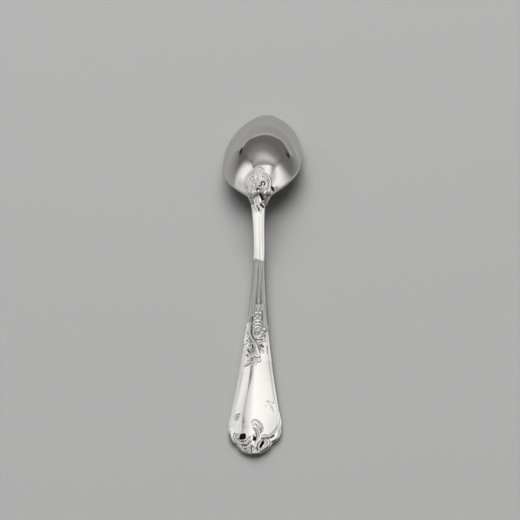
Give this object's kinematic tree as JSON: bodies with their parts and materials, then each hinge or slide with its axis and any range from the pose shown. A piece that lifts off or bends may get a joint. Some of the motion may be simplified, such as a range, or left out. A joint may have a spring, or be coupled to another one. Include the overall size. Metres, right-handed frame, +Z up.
{
  "type": "baby spoon",
  "caption": "Small silver spoon lying face down: egg-shaped bowl, waisted stem and a blade handle with applied scrolls, leaves and edge wires in the rococo manner.",
  "frame": {"origin": "middle of the overall box at table height, with the spoon lying face down on its bowl tip and handle end", "axes": "+X across the spoon, +Y from the handle end to the bowl tip, +Z up from the table"},
  "size_m": [0.0276, 0.14, 0.0125],
  "materials": {
    "bowl_silver": "polished",
    "handle_silver": "polished",
    "ornament_silver": "polished, darker in the recesses"
  },
  "bodies": {
    "root": {"blade_wire_left": "ornament_silver", "blade_wire_right": "ornament_silver", "bowl": "bowl_silver", "brow_leaf": "ornament_silver", "drop_leaf": "ornament_silver", "end_eye": "ornament_silver", "end_husk": "ornament_silver", "end_leaf": "ornament_silver", "end_scroll": "ornament_silver", "flame_leaf": "ornament_silver", "handle": "handle_silver", "heel_bud": "ornament_silver", "heel_scroll_left": "ornament_silver", "heel_scroll_right": "ornament_silver", "heel_shell": "ornament_silver", "husk_bud": "ornament_silver", "husk_drop": "ornament_silver", "husk_flower": "ornament_silver", "left_leaf": "ornament_silver", "neck_leaf": "ornament_silver", "rosette": "ornament_silver", "side_bead": "ornament_silver", "side_curl": "ornament_silver", "spray_leaf_left": "ornament_silver", "spray_leaf_middle": "ornament_silver", "spray_leaf_right": "ornament_silver", "sprig_left": "ornament_silver", "sprig_right": "ornament_silver", "stem_rib": "ornament_silver", "stem_wire_left": "ornament_silver", "stem_wire_right": "ornament_silver"}
  },
  "joints": []
}
